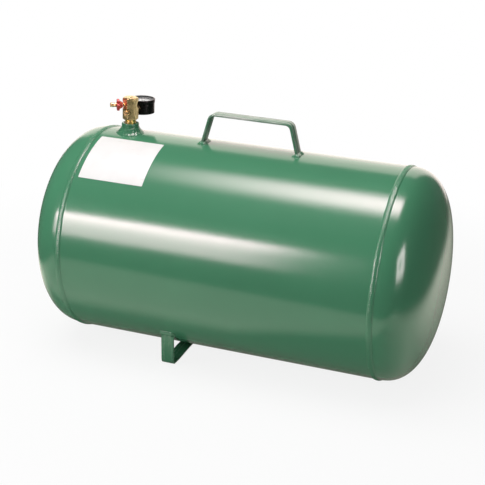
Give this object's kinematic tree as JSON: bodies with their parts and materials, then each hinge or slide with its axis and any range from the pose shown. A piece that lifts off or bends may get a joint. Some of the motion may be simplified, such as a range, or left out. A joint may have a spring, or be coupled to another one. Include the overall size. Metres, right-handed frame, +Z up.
{
  "type": "air receiver tank",
  "caption": "Portable horizontal steel air receiver tank with a carrying handle, a foot strap and a brass tank valve holding a gauge, shut-off knob, relief and fill valve.",
  "frame": {"origin": "on the floor under the tank's centre, with the tank standing on its foot strap's pads and on the bottom of its right girth weld", "axes": "+X along the tank from the valve end towards the plain end (the tank's own axis leans 0.78 degrees down towards +X, because the foot strap lifts the valve end), +Y from the label side to the back, +Z up towards the handle"},
  "size_m": [0.5952, 0.3084, 0.3653],
  "materials": {
    "green_enamel": "gloss enamel",
    "label_film": "plain white film label, blank",
    "brass": "machined",
    "movement_brass": "stamped",
    "spring_steel": "bright",
    "red_knob": "moulded",
    "black_case": "gloss black",
    "dial_white": "matt white",
    "pointer_black": "matt black",
    "gauge_window": "clear",
    "rubber": "matt"
  },
  "bodies": {
    "tank": {"shell": "green_enamel", "left_head": "green_enamel", "right_head": "green_enamel", "left_girth_weld": "green_enamel", "right_girth_weld": "green_enamel", "long_seam_weld": "green_enamel", "valve_boss": "green_enamel", "boss_weld": "green_enamel", "handle": "green_enamel", "handle_weld_left": "green_enamel", "handle_weld_right": "green_enamel", "foot": "green_enamel", "foot_weld_front": "green_enamel", "foot_weld_rear": "green_enamel", "valve_body": "brass", "relief_plug": "brass", "spindle_gland": "brass", "fill_valve_stem": "brass", "valve_core_barrel": "brass", "gauge_socket": "brass", "bourdon_tube": "movement_brass", "movement_back_plate": "movement_brass", "movement_front_plate": "movement_brass", "movement_pillar_left": "movement_brass", "movement_pillar_right": "movement_brass", "relief_spring": "spring_steel", "valve_core_spring": "spring_steel", "instruction_label": "label_film", "spindle_o_ring": "rubber", "gauge_case": "black_case", "gauge_bezel": "black_case", "gauge_window": "gauge_window", "dial_plate": "dial_white"},
    "seat_carriage": {"seat_disc": "rubber"},
    "shutoff": {"shutoff_spindle": "brass", "shutoff_knob": "red_knob", "knob_nut": "brass"},
    "relief": {"relief_ball": "spring_steel"},
    "fill_core": {"valve_core_pin": "brass", "valve_core_seal": "rubber"},
    "sector": {"sector_gear": "movement_brass"},
    "pointer": {"pointer": "pointer_black", "pinion_staff": "movement_brass"},
    "link": {"link_rod": "movement_brass"}
  },
  "joints": [
    {"name": "seat_travel", "type": "slide", "parent": "tank", "child": "seat_carriage", "axis": [-0.8659, -0.5, 0.0117], "range_m": [0, 0.00313]},
    {"name": "shutoff_turn", "type": "hinge", "parent": "seat_carriage", "child": "shutoff", "pos_m": [-0.18436, 0, 0.3537], "axis": [-0.8659, -0.5, 0.0117], "range_deg": [0, 900]},
    {"name": "relief_lift", "type": "slide", "parent": "tank", "child": "relief", "axis": [0.0135, 0, 0.9999], "range_m": [0, 0.0008], "stiffness_N_per_m": 400, "springref_m": -0.007, "deforming": ["relief_spring"]},
    {"name": "fill_core_press", "type": "slide", "parent": "tank", "child": "fill_core", "axis": [0, 1, 0], "range_m": [0, 0.0014], "stiffness_N_per_m": 300, "springref_m": -0.003, "deforming": ["valve_core_spring"]},
    {"name": "sector_swing", "type": "hinge", "parent": "tank", "child": "sector", "pos_m": [-0.18698, 0.049, 0.15982], "axis": [0.0135, 0, 0.9999], "range_deg": [0, 30], "stiffness_Nm_per_rad": 0.001, "springref_deg": -5.73},
    {"name": "pointer_turn", "type": "hinge", "parent": "tank", "child": "pointer", "pos_m": [-0.18698, 0.041, 0.15982], "axis": [-0.0135, 0, -0.9999], "range_deg": [0, 270]},
    {"name": "link_swing", "type": "hinge", "parent": "sector", "child": "link", "pos_m": [-0.19051, 0.05, 0.34268], "axis": [0.0135, 0, 0.9999], "range_deg": [-30, 0]}
  ],
  "couplings": [
    {"joint": "shutoff_turn", "follows": "seat_travel", "rad_per_m": 5026.5},
    {"joint": "pointer_turn", "follows": "sector_swing", "ratio": 9},
    {"joint": "link_swing", "follows": "sector_swing", "ratio": -1}
  ]
}
